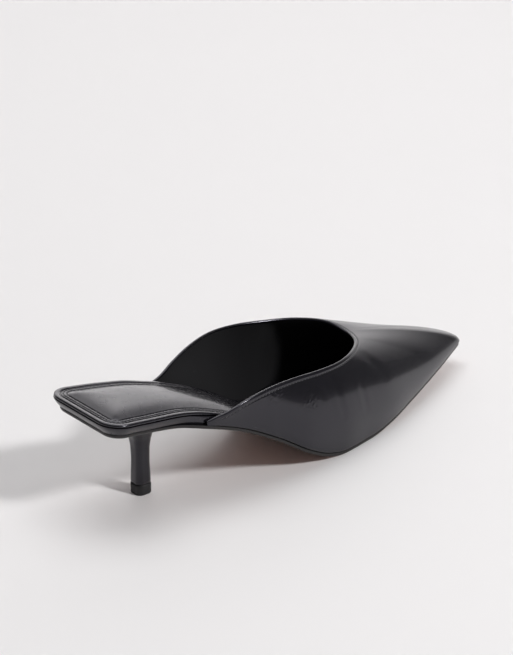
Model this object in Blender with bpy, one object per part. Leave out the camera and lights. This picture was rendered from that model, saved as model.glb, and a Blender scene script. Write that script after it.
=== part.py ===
"""Kitten heel mule, right shoe, in metres with +Z up.

The origin is the centre of the heel's top piece where it meets the floor.
+X runs towards the toe, -Y is the outer side of the foot and +Y the inner side.
Every section is worked out from the named sizes below and the short tables,
whose numbers are shares of those sizes.
"""
import math

import bmesh
import bpy
from mathutils import Vector

# Driving sizes of the shoe
SHOE_LENGTH = 0.256
HEEL_SETBACK = 0.035
BALL_WIDTH = 0.076
HEEL_HEIGHT = 0.0456
INSTEP_HEIGHT = 0.0493
TOE_SPRING = 0.0104
SEAT_CORNER = 0.0118
TOE_RADIUS = 0.0065
TOE_CENTRE = 0.0163

# Thicknesses and clearances
CLEARANCE = 0.0003
UPPER_WALL = 0.0015
OUTSOLE_THICKNESS = 0.0018
OUTSOLE_INSET = 0.0005
SEAT_BOARD = 0.0044
FORE_BOARD = 0.0026
SOCK_EDGE = 0.0014
SOCK_PADDING = 0.0018
SEAT_OVERHANG = 0.0030
BOARD_TOE_GAP = 0.0150
SOCK_TOE_GAP = 0.0190
RIM_ROUNDING = 0.0010

# Heel and top piece
TOP_PIECE_HEIGHT = 0.0052
TIP_WIDTH = 0.0087
TRUMPET_WIDTH = 0.0300
TRUMPET_SHIFT = -0.0040

# Form of the rounded corners, as a share and in degrees: the heel's corners in shares of
# its width, the half angle of the toe where its rounding starts, and the rounding's sweep.
TIP_CORNER_SHARE = 0.35
TOE_TAPER_DEGREES = 25
TOE_SWEEP_DEGREES = 57

# Form of the ribs: how far a rib reaches out to its foot before it turns down, and the
# height, in shares of the instep height, from which it swells in full.
RIB_REACH_SHARE = 0.42
FULL_SWELL_SHARE = 0.5

# Form of the padding: where it starts in shares of the seat's corner, how slowly it fades
# towards the ball, and how soon it fills from the sides.
PAD_START_SHARE = 0.3
PAD_FADE_POWER = 0.5
PAD_FILL_POWER = 0.7

# Mesh density
SIDE_STATIONS = 38
CORNER_STEPS = 6
TOE_STEPS = 6
CROSS_STEPS = 6
RIB_STEPS = 13
HEEL_SIDES = 24
RIBS_PER_SPAN = 3
RIBS_AT_THROAT = 8
SHARP_ANGLE_DEGREES = 40

# Underside of the sole along the shoe.
# Columns: share of the length, share of the heel height, share of the toe spring.
SOLE_PROFILE = [
    (0.000, 1.000, 0.00),
    (0.078, 0.941, 0.00),
    (0.156, 0.880, 0.00),
    (0.214, 0.803, 0.00),
    (0.293, 0.647, 0.00),
    (0.371, 0.421, 0.00),
    (0.449, 0.152, 0.00),
    (0.496, 0.040, 0.00),
    (0.536, 0.000, 0.00),
    (0.617, 0.000, 0.00),
    (0.684, 0.000, 0.20),
    (0.762, 0.000, 0.48),
    (0.879, 0.000, 0.82),
    (0.985, 0.000, 0.99),
    (1.000, 0.000, 1.02),
]
FLAT_START = SOLE_PROFILE[8][0]
FLAT_END = SOLE_PROFILE[9][0]

# Feather line, where the upper meets the sole.
# Columns: share of the length, outer side and inner side in shares of the ball width,
# and the platform's lead: 1 where it overhangs the outsole, 0 where the upper wraps it.
FEATHER = [
    (0.000, -0.316, 0.329, 1.00),
    (0.078, -0.296, 0.315, 1.00),
    (0.156, -0.304, 0.300, 0.72),
    (0.214, -0.350, 0.313, 0.00),
    (0.293, -0.372, 0.311, 0.00),
    (0.371, -0.404, 0.345, 0.00),
    (0.449, -0.436, 0.434, 0.00),
    (0.527, -0.422, 0.548, 0.00),
    (0.605, -0.372, 0.628, 0.00),
    (0.684, -0.308, 0.632, 0.00),
    (0.762, -0.212, 0.557, 0.00),
    (0.879, -0.044, 0.410, 0.00),
]

# Topline of the upper from a wing tip to the throat.
# Columns: share of the length, outer and inner side in shares of the ball width,
# outer and inner height in shares of the instep height, and where the rib below it
# meets the feather line, as a share of that line from the wing tip to the toe.
TOPLINE = [
    (0.214, -0.346, 0.309, 0.815, 0.812, 0.000),
    (0.254, -0.388, 0.334, 0.876, 0.856, 0.048),
    (0.300, -0.397, 0.389, 0.947, 0.928, 0.105),
    (0.355, -0.379, 0.456, 0.976, 0.980, 0.176),
    (0.418, -0.360, 0.515, 0.972, 1.000, 0.262),
    (0.481, -0.341, 0.524, 0.947, 0.990, 0.352),
    (0.543, -0.290, 0.482, 0.917, 0.972, 0.455),
    (0.605, -0.180, 0.402, 0.890, 0.955, 0.595),
    (0.655, -0.020, 0.270, 0.865, 0.920, 0.790),
]

# Middle of the throat: share of the length, of the ball width and of the instep height.
THROAT = (0.668, 0.125, 0.868)

# How a rib of the upper swells between topline and feather line.
# Columns: rib's place on the feather line, drop at the topline and rise at the feather
# line in shares of the rib's height, swell at top and bottom in shares of the ball width.
RIB_SHAPE = [
    (0.00, 0.33, 0.33, 0.000, 0.000),
    (0.10, 0.33, 0.33, 0.020, 0.022),
    (0.26, 0.30, 0.36, 0.034, 0.040),
    (0.46, 0.22, 0.42, 0.036, 0.048),
    (0.60, 0.16, 0.42, 0.020, 0.044),
    (0.80, 0.18, 0.30, 0.004, 0.026),
    (1.00, 0.24, 0.17, 0.000, 0.004),
]

# Heel sections from the top piece up to the outsole.
# Columns: share of the heel's rise, share of the tip width, share of the trumpet.
HEEL_SECTIONS = [
    (0.00, 1.00, 0.00),
    (0.14, 0.96, 0.00),
    (0.34, 0.91, 0.00),
    (0.52, 0.92, 0.01),
    (0.64, 0.97, 0.04),
    (0.73, 1.00, 0.11),
    (0.81, 1.00, 0.22),
    (0.88, 1.00, 0.40),
    (0.94, 1.00, 0.66),
    (1.00, 1.00, 1.00),
]

# Rounding of a soft edge: share of the rounding inward and share of it left below.
ROUND_STEPS = [(0.00, 1.00), (0.30, 0.30), (1.00, 0.00)]

# Colours
BROWN_RESIN = (0.050, 0.030, 0.026)
BLACK_LEATHER = (0.013, 0.012, 0.014)
BOARD_LEATHER = (0.016, 0.015, 0.017)
SOCK_LEATHER = (0.020, 0.019, 0.022)
BLACK_RUBBER = (0.010, 0.010, 0.011)


def smooth_table(rows, column, at):
    """Read one column of a table at a place along it, without overshoot."""
    places = [row[0] for row in rows]
    values = [row[column] for row in rows]
    if at <= places[0]:
        return values[0]
    if at >= places[-1]:
        return values[-1]
    slopes = [(values[i + 1] - values[i]) / (places[i + 1] - places[i]) for i in range(len(rows) - 1)]
    tangents = [slopes[0]]
    for before, after in zip(slopes, slopes[1:]):
        tangents.append(0.0 if before * after <= 0 else 2 * before * after / (before + after))
    tangents.append(slopes[-1])
    span = next(i for i in range(len(slopes)) if at <= places[i + 1])
    width = places[span + 1] - places[span]
    t = (at - places[span]) / width
    return ((1 + 2 * t) * (1 - t) ** 2 * values[span]
            + t * (1 - t) ** 2 * width * tangents[span]
            + t * t * (3 - 2 * t) * values[span + 1]
            + t * t * (t - 1) * width * tangents[span + 1])


def along_to_x(share):
    """Distance from the heel's axis of a share of the shoe's length."""
    return share * SHOE_LENGTH - HEEL_SETBACK


def x_to_along(x):
    """Share of the shoe's length at a distance from the heel's axis."""
    return (x + HEEL_SETBACK) / SHOE_LENGTH


def sole_z(x):
    """Height of the outsole's underside."""
    share = x_to_along(x)
    return (smooth_table(SOLE_PROFILE, 1, share) * HEEL_HEIGHT
            + smooth_table(SOLE_PROFILE, 2, share) * TOE_SPRING)


def seat_z(x):
    """Height of the board's underside, just clear of the outsole."""
    return sole_z(x) + OUTSOLE_THICKNESS + CLEARANCE


def board_thickness(x):
    """The board is thick under the heel seat and thins towards the ball."""
    t = min(max(x / along_to_x(FLAT_START), 0.0), 1.0)
    return SEAT_BOARD + (FORE_BOARD - SEAT_BOARD) * t * t * (3 - 2 * t)


def outline_rows():
    """The feather table closed with the last section before the rounded toe."""
    taper = math.radians(TOE_TAPER_DEGREES)
    tangent = 1 - TOE_RADIUS * (1 - math.sin(taper)) / SHOE_LENGTH
    half = TOE_RADIUS * math.cos(taper)
    lateral = (TOE_CENTRE - half) / BALL_WIDTH
    medial = (TOE_CENTRE + half) / BALL_WIDTH
    return FEATHER + [(tangent, lateral, medial, 0.0)]


def feather_outline():
    """Outer and inner side of the feather line, from the back of the seat to the toe."""
    rows = outline_rows()
    corner = SEAT_CORNER - SEAT_OVERHANG
    places = []
    for step in range(CORNER_STEPS):
        angle = math.pi / 2 * step / CORNER_STEPS
        places.append((SEAT_OVERHANG + corner * (1 - math.cos(angle)), corner * (1 - math.sin(angle))))
    start = SEAT_CORNER / SHOE_LENGTH
    end = rows[-1][0]
    shares = [start + (end - start) * i / SIDE_STATIONS for i in range(SIDE_STATIONS + 1)]
    for flat in (FLAT_START, FLAT_END):
        nearest = min(range(len(shares)), key=lambda i: abs(shares[i] - flat))
        shares[nearest] = flat
    places += [(share * SHOE_LENGTH, 0.0) for share in shares]
    lateral = []
    medial = []
    for along, rounding in places:
        share = along / SHOE_LENGTH
        x = along - HEEL_SETBACK
        lateral.append(Vector((x, smooth_table(rows, 1, share) * BALL_WIDTH + rounding)))
        medial.append(Vector((x, smooth_table(rows, 2, share) * BALL_WIDTH - rounding)))
    centre_x = SHOE_LENGTH - HEEL_SETBACK - TOE_RADIUS
    for step in range(1, TOE_STEPS):
        angle = math.radians(TOE_TAPER_DEGREES + TOE_SWEEP_DEGREES * step / (TOE_STEPS - 1))
        x = centre_x + TOE_RADIUS * math.sin(angle)
        half = TOE_RADIUS * math.cos(angle)
        lateral.append(Vector((x, TOE_CENTRE - half)))
        medial.append(Vector((x, TOE_CENTRE + half)))
    return lateral, medial


def moved_outline(outline, distance):
    """Outline moved outward by distance(x) along its own normals."""
    lateral, medial = outline
    loop = lateral + medial[::-1]
    count = len(loop)
    moved = []
    for i, point in enumerate(loop):
        tangent = loop[(i + 1) % count] - loop[i - 1]
        normal = Vector((tangent.y, -tangent.x)).normalized()
        moved.append(point + normal * distance(point.x))
    half = len(lateral)
    return moved[:half], moved[half:][::-1]


def shortened(outline, toe_gap):
    """Outline cut square at the last section that keeps the gap to the toe."""
    limit = SHOE_LENGTH - HEEL_SETBACK - toe_gap
    kept = sum(1 for point in feather_outline()[0] if point.x <= limit)
    return outline[0][:kept], outline[1][:kept]


def platform_offset(x):
    """How far the platform's rim stands outside the feather line, or inside the upper."""
    lead = smooth_table(outline_rows(), 3, x_to_along(x))
    inside = UPPER_WALL + 2 * CLEARANCE
    return lead * SEAT_OVERHANG - (1 - lead) * inside


def platform_foot_offset(x):
    """The platform's wall leans in under its rim at the seat."""
    lead = smooth_table(outline_rows(), 3, x_to_along(x))
    return platform_offset(x) - lead * SEAT_OVERHANG


def new_object(name, mesh_builder, colour, roughness):
    """Make one named object from a bmesh with its own plain material."""
    bmesh.ops.recalc_face_normals(mesh_builder, faces=mesh_builder.faces[:])
    mesh = bpy.data.meshes.new(name)
    mesh_builder.to_mesh(mesh)
    mesh_builder.free()
    mesh.shade_smooth()
    mesh.set_sharp_from_angle(angle=math.radians(SHARP_ANGLE_DEGREES))
    material = bpy.data.materials.new(name + "_material")
    material.use_nodes = True
    shader = material.node_tree.nodes["Principled BSDF"]
    shader.inputs["Base Color"].default_value = (*colour, 1.0)
    shader.inputs["Roughness"].default_value = roughness
    shader.inputs["Metallic"].default_value = 0.0
    mesh.materials.append(material)
    part = bpy.data.objects.new(name, mesh)
    bpy.context.collection.objects.link(part)
    return part


def across(start, end):
    """Points between two facing points of an outline, ends left out."""
    return [start.lerp(end, k / CROSS_STEPS) for k in range(1, CROSS_STEPS)]


def plate(name, rings, crown, colour, roughness):
    """Closed plate through stacked outlines, each with its height function.

    Both end caps are ruled across the shoe, and crown(x, share) lifts the top one.
    """
    builder = bmesh.new()
    stations = len(rings[0][0][0])
    loops = []
    for (lateral, medial), height in rings:
        outline = lateral + across(lateral[-1], medial[-1]) + medial[::-1] + across(medial[0], lateral[0])
        loops.append([builder.verts.new((p.x, p.y, height(p.x))) for p in outline])
    count = len(loops[0])
    for low, high in zip(loops, loops[1:]):
        for i in range(count):
            j = (i + 1) % count
            builder.faces.new((low[i], low[j], high[j], high[i]))
    toe = stations - 1
    for loop, height, lift in ((loops[0], rings[0][1], None), (loops[-1], rings[-1][1], crown)):
        rows = [[loop[0]] + loop[:-CROSS_STEPS:-1] + [loop[-CROSS_STEPS]]]
        for i in range(1, toe):
            start = loop[i]
            end = loop[2 * toe + CROSS_STEPS - i]
            row = [start]
            for k, point in enumerate(across(start.co, end.co), 1):
                point.z = height(point.x) + (lift(point.x, k / CROSS_STEPS) if lift else 0.0)
                row.append(builder.verts.new(point))
            rows.append(row + [end])
        rows.append(loop[toe:toe + CROSS_STEPS + 1])
        for near, far in zip(rows, rows[1:]):
            for k in range(CROSS_STEPS):
                builder.faces.new((near[k], near[k + 1], far[k + 1], far[k]))
    return new_object(name, builder, colour, roughness)


def make_outsole():
    """Thin full-length outsole with one flat spot under the ball."""
    edge = moved_outline(feather_outline(), lambda x: -OUTSOLE_INSET)
    rings = [(edge, sole_z), (edge, lambda x: sole_z(x) + OUTSOLE_THICKNESS)]
    return plate("outsole", rings, None, BROWN_RESIN, 0.55)


def rounded_rings(outline, high):
    """Rings that round the top edge of a wall ending at high(x)."""
    rings = []
    for inward, below in ROUND_STEPS:
        ring = moved_outline(outline, lambda x, inward=inward: -inward * RIM_ROUNDING)
        depth = below * RIM_ROUNDING
        rings.append((shortened(ring, SOCK_TOE_GAP), lambda x, depth=depth: high(x) - depth))
    return rings


def make_insole():
    """Covered board: the heel seat's platform, running on inside the upper."""
    feather = feather_outline()
    foot = shortened(moved_outline(feather, platform_foot_offset), BOARD_TOE_GAP)
    rim = shortened(moved_outline(feather, platform_offset), BOARD_TOE_GAP)
    rings = [(foot, seat_z), (rim, lambda x: seat_z(x) + board_thickness(x))]
    return plate("insole", rings, None, BOARD_LEATHER, 0.42)


def sock_crown(x, share):
    """Padding of the sock, full over the heel seat and gone before the ball."""
    back = min(max((x + HEEL_SETBACK - SEAT_CORNER * PAD_START_SHARE) / SEAT_CORNER, 0.0), 1.0)
    front = min(max(1 - x / along_to_x(FLAT_START), 0.0), 1.0)
    fullness = math.sin(math.pi * share) ** PAD_FILL_POWER
    return SOCK_PADDING * back * front ** PAD_FADE_POWER * fullness


def make_sock():
    """Padded sock lining lying on the board, edge to edge."""
    def low(x):
        return seat_z(x) + board_thickness(x) + CLEARANCE

    def high(x):
        return low(x) + SOCK_EDGE

    rim = moved_outline(feather_outline(), lambda x: platform_offset(x) - CLEARANCE)
    rings = [(shortened(rim, SOCK_TOE_GAP), low)] + rounded_rings(rim, high)
    return plate("sock", rings, sock_crown, SOCK_LEATHER, 0.40)


def side_path(side):
    """One side of the feather line from the wing tip to the toe's centre."""
    outline = feather_outline()[side]
    start_x = along_to_x(TOPLINE[0][0])
    rows = outline_rows()
    start_y = smooth_table(rows, 1 + side, TOPLINE[0][0]) * BALL_WIDTH
    path = [Vector((start_x, start_y))] + [p for p in outline if p.x > start_x + UPPER_WALL]
    path.append(Vector((SHOE_LENGTH - HEEL_SETBACK, TOE_CENTRE)))
    return path


def point_on_path(path, share):
    """Point and direction at a share of a path's length."""
    lengths = [0.0]
    for a, b in zip(path, path[1:]):
        lengths.append(lengths[-1] + (b - a).length)
    target = share * lengths[-1]
    span = next((i for i in range(len(path) - 1) if target <= lengths[i + 1]), len(path) - 2)
    t = (target - lengths[span]) / (lengths[span + 1] - lengths[span])
    tangents = []
    for i in (span, span + 1):
        before = path[max(i - 1, 0)]
        after = path[min(i + 1, len(path) - 1)]
        tangents.append((after - before).normalized())
    return path[span].lerp(path[span + 1], t), tangents[0].lerp(tangents[1], t).normalized()


def topline_knots():
    """Topline points from the outer wing over the throat to the inner wing."""
    outer = [(Vector((along_to_x(r[0]), r[1] * BALL_WIDTH, r[3] * INSTEP_HEIGHT)), r[5]) for r in TOPLINE]
    inner = [(Vector((along_to_x(r[0]), r[2] * BALL_WIDTH, r[4] * INSTEP_HEIGHT)), r[5]) for r in TOPLINE]
    throat = (Vector((along_to_x(THROAT[0]), THROAT[1] * BALL_WIDTH, THROAT[2] * INSTEP_HEIGHT)), 1.0)
    return outer + [throat] + inner[::-1]


def curve_through(points, span, t):
    """Catmull-Rom curve with chord-length knots through a list of points."""
    p1 = points[span]
    p2 = points[span + 1]
    p0 = points[span - 1] if span else p1 * 2 - p2
    p3 = points[span + 2] if span + 2 < len(points) else p2 * 2 - p1
    d01 = (p1 - p0).length ** 0.5
    d12 = (p2 - p1).length ** 0.5
    d23 = (p3 - p2).length ** 0.5
    m1 = (p2 - p1) + ((p1 - p0) / d01 - (p2 - p0) / (d01 + d12)) * d12
    m2 = (p2 - p1) + ((p3 - p2) / d23 - (p3 - p1) / (d12 + d23)) * d12
    return (p1 * ((1 + 2 * t) * (1 - t) ** 2) + m1 * (t * (1 - t) ** 2)
            + p2 * (t * t * (3 - 2 * t)) + m2 * (t * t * (t - 1)))


def upper_rib(top, foot_share, side, paths):
    """Points of one rib from the topline down to the feather line."""
    foot2d, direction = point_on_path(paths[side], foot_share)
    outward = Vector((direction.y, -direction.x, 0.0)) * (1 if side == 0 else -1)
    if foot_share >= 1.0:
        outward = Vector((1.0, 0.0, 0.0))
    foot = Vector((foot2d.x, foot2d.y, seat_z(foot2d.x)))
    height = top.z - foot.z
    reach = Vector((foot.x - top.x, foot.y - top.y, 0.0)) * RIB_REACH_SHARE
    drop, rise, swell_top, swell_foot = (smooth_table(RIB_SHAPE, c, foot_share) for c in (1, 2, 3, 4))
    swell = min(height / (INSTEP_HEIGHT * FULL_SWELL_SHARE), 1.0) * BALL_WIDTH
    first = top + reach - Vector((0, 0, drop * height)) + outward * swell_top * swell
    last = foot + Vector((0, 0, rise * height)) + outward * swell_foot * swell
    rib = []
    for k in range(RIB_STEPS + 1):
        t = k / RIB_STEPS
        rib.append(top * (1 - t) ** 3 + first * (3 * t * (1 - t) ** 2)
                   + last * (3 * t * t * (1 - t)) + foot * t ** 3)
    return rib


def upper_ribs():
    """Outer face of the upper as ribs from the outer wing round to the inner wing."""
    paths = (side_path(0), side_path(1))
    knots = topline_knots()
    points = [knot[0] for knot in knots]
    shares = [knot[1] for knot in knots]
    middle = len(TOPLINE)
    ribs = []
    for span in range(len(knots) - 1):
        side = 0 if span < middle else 1
        steps = RIBS_AT_THROAT if span in (middle - 1, middle) else RIBS_PER_SPAN
        for step in range(steps):
            t = step / steps
            share = shares[span] + (shares[span + 1] - shares[span]) * t
            ribs.append(upper_rib(curve_through(points, span, t), share, side, paths))
    ribs.append(upper_rib(points[-1], shares[-1], 1, paths))
    return ribs


def make_upper():
    """Hollow upper with its real wall, open at the collar and underneath."""
    outer = upper_ribs()
    count = len(outer)
    inner = []
    for i, rib in enumerate(outer):
        row = []
        for k, point in enumerate(rib):
            along = outer[min(i + 1, count - 1)][k] - outer[max(i - 1, 0)][k]
            down = rib[min(k + 1, RIB_STEPS)] - rib[max(k - 1, 0)]
            normal = along.cross(down).normalized()
            row.append(point + normal * UPPER_WALL)
        row[-1].z = seat_z(row[-1].x)
        inner.append(row)
    builder = bmesh.new()
    outside = [[builder.verts.new(p) for p in rib] for rib in outer]
    inside = [[builder.verts.new(p) for p in rib] for rib in inner]
    for a, b, c, d in zip(outside, outside[1:], inside, inside[1:]):
        for k in range(RIB_STEPS):
            builder.faces.new((a[k], a[k + 1], b[k + 1], b[k]))
            builder.faces.new((c[k], d[k], d[k + 1], c[k + 1]))
        builder.faces.new((a[0], b[0], d[0], c[0]))
        builder.faces.new((a[-1], c[-1], d[-1], b[-1]))
    for out, ins in ((outside[0], inside[0]), (outside[-1], inside[-1])):
        for k in range(RIB_STEPS):
            builder.faces.new((out[k], ins[k], ins[k + 1], out[k + 1]))
    return new_object("upper", builder, BLACK_LEATHER, 0.30)


def rounded_square(width, corner):
    """Points of a square with corners rounded by a share of its width, centred on the origin."""
    radius = width * corner
    flat = width / 2 - radius
    steps = HEEL_SIDES // 4
    points = []
    for quarter in range(4):
        turn = math.pi / 2 * quarter
        centre = Vector((math.cos(turn + math.pi / 4), math.sin(turn + math.pi / 4))) * flat * math.sqrt(2)
        for step in range(steps):
            angle = turn + math.pi / 2 * step / (steps - 1)
            points.append(centre + Vector((math.cos(angle), math.sin(angle))) * radius)
    return points


def capped_stack(name, loops, colour, roughness):
    """Closed solid through stacked loops with flat caps."""
    builder = bmesh.new()
    rows = [[builder.verts.new(p) for p in loop] for loop in loops]
    for low, high in zip(rows, rows[1:]):
        for i in range(len(low)):
            j = (i + 1) % len(low)
            builder.faces.new((low[i], low[j], high[j], high[i]))
    builder.faces.new(rows[0][::-1])
    builder.faces.new(rows[-1])
    return new_object(name, builder, colour, roughness)


def make_heel():
    """Slim kitten heel that flares like a trumpet under the seat."""
    base = TOP_PIECE_HEIGHT + CLEARANCE
    loops = []
    for rise, tip_share, flare in HEEL_SECTIONS:
        width = TIP_WIDTH * tip_share + (TRUMPET_WIDTH - TIP_WIDTH) * flare
        shift = TRUMPET_SHIFT * flare
        loop = []
        for p in rounded_square(width, TIP_CORNER_SHARE):
            x = p.x + shift
            top = sole_z(x) - CLEARANCE
            loop.append(Vector((x, p.y, base + (top - base) * rise)))
        loops.append(loop)
    return capped_stack("heel", loops, BLACK_LEATHER, 0.35)


def make_top_piece():
    """Rubber top piece under the heel, flat on the floor."""
    section = rounded_square(TIP_WIDTH, TIP_CORNER_SHARE)
    loops = [[Vector((p.x, p.y, z)) for p in section] for z in (0.0, TOP_PIECE_HEIGHT)]
    return capped_stack("top_piece", loops, BLACK_RUBBER, 0.60)


def main():
    """Clear the scene and build the six pieces."""
    for old in list(bpy.data.objects):
        bpy.data.objects.remove(old, do_unlink=True)
    make_outsole()
    make_insole()
    make_sock()
    make_upper()
    make_heel()
    make_top_piece()


main()
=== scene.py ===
"""Kitten heel mule, right shoe: the finish of every surface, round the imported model.

The forms are worked out from the shoe's own sizes, in metres. +X runs to the toe,
-Y is the outer side of the foot, +Z is up and the floor is at zero.
"""
import bisect
import math

import bmesh
import bpy
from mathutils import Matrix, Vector


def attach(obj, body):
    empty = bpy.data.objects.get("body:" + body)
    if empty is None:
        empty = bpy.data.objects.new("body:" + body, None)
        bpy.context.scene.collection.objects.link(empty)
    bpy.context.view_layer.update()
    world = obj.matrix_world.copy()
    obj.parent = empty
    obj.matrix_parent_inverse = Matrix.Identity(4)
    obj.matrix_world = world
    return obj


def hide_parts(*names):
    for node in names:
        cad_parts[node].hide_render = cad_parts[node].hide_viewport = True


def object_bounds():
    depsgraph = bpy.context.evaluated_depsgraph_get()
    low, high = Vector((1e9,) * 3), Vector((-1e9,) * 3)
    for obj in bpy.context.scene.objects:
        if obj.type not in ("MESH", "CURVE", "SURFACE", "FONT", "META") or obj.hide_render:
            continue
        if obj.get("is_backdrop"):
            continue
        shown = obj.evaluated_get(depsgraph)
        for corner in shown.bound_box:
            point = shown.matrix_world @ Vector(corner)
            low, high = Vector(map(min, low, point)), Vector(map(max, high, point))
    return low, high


bl_info = {
    "name": "Kitten heel mule",
    "version": (1, 0, 0),
    "blender": (4, 5, 0),
    "location": "View3D > Sidebar > Mule",
    "description": "Builds a black leather kitten heel mule on its packed model",
    "category": "Add Mesh",
}

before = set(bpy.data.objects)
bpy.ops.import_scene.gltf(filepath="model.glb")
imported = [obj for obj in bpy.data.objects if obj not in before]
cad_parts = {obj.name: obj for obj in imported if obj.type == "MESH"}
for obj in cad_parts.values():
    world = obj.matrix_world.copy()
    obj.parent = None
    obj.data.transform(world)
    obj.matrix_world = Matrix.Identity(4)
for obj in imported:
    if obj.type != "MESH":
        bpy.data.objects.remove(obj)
CAD_LOW, CAD_HIGH = (tuple(corner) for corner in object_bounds())
MM = 0.001

# Underside of the sole: share of the length, share of the heel height, share of the toe spring.
SOLE_PROFILE = [
    (0.000, 1.000, 0.00), (0.078, 0.941, 0.00), (0.156, 0.880, 0.00), (0.214, 0.803, 0.00),
    (0.293, 0.647, 0.00), (0.371, 0.421, 0.00), (0.449, 0.152, 0.00), (0.496, 0.040, 0.00),
    (0.536, 0.000, 0.00), (0.617, 0.000, 0.00), (0.684, 0.000, 0.20), (0.762, 0.000, 0.48),
    (0.879, 0.000, 0.82), (0.985, 0.000, 0.99), (1.000, 0.000, 1.02),
]
BALL_START = SOLE_PROFILE[8][0]

# Feather line: share of the length, outer and inner side in shares of the ball width, and
# the platform's lead, 1 where it overhangs the outsole and 0 where the upper wraps it.
FEATHER = [
    (0.000, -0.316, 0.329, 1.00), (0.078, -0.296, 0.315, 1.00), (0.156, -0.304, 0.300, 0.72),
    (0.214, -0.350, 0.313, 0.00), (0.293, -0.372, 0.311, 0.00), (0.371, -0.404, 0.345, 0.00),
    (0.449, -0.436, 0.434, 0.00), (0.527, -0.422, 0.548, 0.00), (0.605, -0.372, 0.628, 0.00),
    (0.684, -0.308, 0.632, 0.00), (0.762, -0.212, 0.557, 0.00), (0.879, -0.044, 0.410, 0.00),
]

# Rounding of the toe: the taper where it starts and the angle that it turns through.
TOE_TAPER = math.radians(25)
TOE_SWEEP = math.radians(60)

# Topline: share of the length, outer and inner side in shares of the ball width, outer and
# inner height in shares of the instep height, and the foot of the rib on the feather line.
TOPLINE = [
    (0.214, -0.346, 0.309, 0.815, 0.812, 0.000), (0.254, -0.388, 0.334, 0.876, 0.856, 0.048),
    (0.300, -0.397, 0.389, 0.947, 0.928, 0.105), (0.355, -0.379, 0.456, 0.976, 0.980, 0.176),
    (0.418, -0.360, 0.515, 0.972, 1.000, 0.262), (0.481, -0.341, 0.524, 0.947, 0.990, 0.352),
    (0.543, -0.290, 0.482, 0.917, 0.972, 0.455), (0.605, -0.180, 0.402, 0.890, 0.955, 0.595),
    (0.655, -0.020, 0.270, 0.865, 0.920, 0.790),
]
THROAT = (0.668, 0.125, 0.868)

# Swell of the ribs: place on the feather line, drop at the topline and rise at the feather
# line in shares of the height, and swell at top and bottom in shares of the ball width.
RIB_SHAPE = [
    (0.00, 0.33, 0.33, 0.000, 0.000), (0.10, 0.33, 0.33, 0.020, 0.022),
    (0.26, 0.30, 0.36, 0.034, 0.040), (0.46, 0.22, 0.42, 0.036, 0.048),
    (0.60, 0.16, 0.42, 0.020, 0.044), (0.80, 0.18, 0.30, 0.004, 0.026),
    (1.00, 0.24, 0.17, 0.000, 0.004),
]

# How far a rib reaches out before it falls, in shares of its spread, and the share of the
# instep height from which ribs swell in full.
RIB_REACH = 0.42
FULL_SWELL = 0.5

# Rows of points down each rib: distances below the topline, number of even rows, distances
# above the feather line. Short ribs give at most these shares of their length to the two ends.
EDGE_ROWS = [d * MM for d in (0.0, 0.35, 0.7, 1.1, 1.5, 1.8, 2.05, 2.3, 2.55, 2.8, 3.1, 3.5, 4.0)]
BODY_ROWS = 44
FOOT_ROWS = [d * MM for d in (0.8, 0.5, 0.28, 0.1, 0.0)]
EDGE_SHARE = 0.4
FOOT_SHARE = 0.2
RIBS_PER_SPAN = 13
RIBS_AT_THROAT = 40

# Sewn groove and rolled edge below the topline: distance down, width and height in millimetres.
EDGE_RELIEF = [(2.05, 0.34, -0.24), (0.9, 0.75, 0.22)]

# Shortest ribs that carry the groove and roll, the curled foot, and a stitch.
RELIEF_LENGTH = 6 * MM
CURL_LENGTH = 4 * MM
STITCH_LENGTH = 7 * MM

# The foot's curl in shares of a full quarter round, the turned edge's steps and its height in
# shares of half the wall, and the threads' height above the upper and the sock.
FOOT_CURL = 0.6
TURN_STEPS = 9
TURN_CROWN = 0.7
UPPER_THREAD_LIFT = 0.06 * MM
SOCK_THREAD_LIFT = 0.10 * MM

# Creases of the upper, each from one place to another: side (0 outer, 1 inner), start and end
# as share of the topline's half and share of the way down, width and depth in millimetres.
CREASES = [
    (0, 0.598, 0.18, 0.590, 0.60, 1.8, 0.20),
    (0, 0.684, 0.44, 0.675, 0.66, 1.6, 0.18),
    (0, 0.504, 0.10, 0.540, 0.36, 2.0, 0.13),
    (0, 0.790, 0.22, 0.780, 0.52, 3.2, 0.12),
    (1, 0.600, 0.14, 0.590, 0.50, 2.0, 0.18),
    (1, 0.700, 0.20, 0.690, 0.56, 2.4, 0.15),
    (1, 0.800, 0.22, 0.790, 0.50, 3.2, 0.12),
]

# Section of a crease, in shares of its width and depth: how far it reaches, where its side
# ridges stand, their width and their height. Then how much shallower it is at its ends, how
# far it stays from topline and feather line, and its share on the inner face.
CREASE_REACH = 4
RIDGE_PLACE = 1.7
RIDGE_WIDTH = 0.8
RIDGE_HEIGHT = 0.45
CREASE_END = 0.12
CREASE_FADE_TOP = 5 * MM
CREASE_FADE_FOOT = 4 * MM
CREASE_INSIDE = 0.8

# Patches of fine crinkles under the outer topline: centre and radius in millimetres.
CRINKLES = [((56.7, -29.8, 44.4), 9.0), ((79.0, -32.0, 34.0), 7.0)]

# Edge of the outsole from its underside up: millimetres inward and up, and the height by
# which it has come out to the feather line under the seat.
OUTSOLE_EDGE = [(1.0, 0.0), (0.45, 0.06), (0.2, 0.2), (0.08, 0.45), (0.0, 0.9), (0.0, 1.72), (0.1, 1.8)]
OUTSOLE_FLUSH = 1.2

# Wall of the platform: share of its height, millimetres inward, millimetres lowered.
PLATFORM_WALL = [
    (0.00, 0.70, 0.22), (0.00, 0.15, 0.22), (0.02, 0.02, 0.10), (0.12, -0.06, 0.00), (0.35, -0.22, 0.00),
    (0.60, -0.26, 0.00), (0.80, -0.16, 0.00), (0.92, -0.02, 0.00), (0.98, 0.12, 0.00), (1.00, 0.42, 0.00),
]

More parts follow.
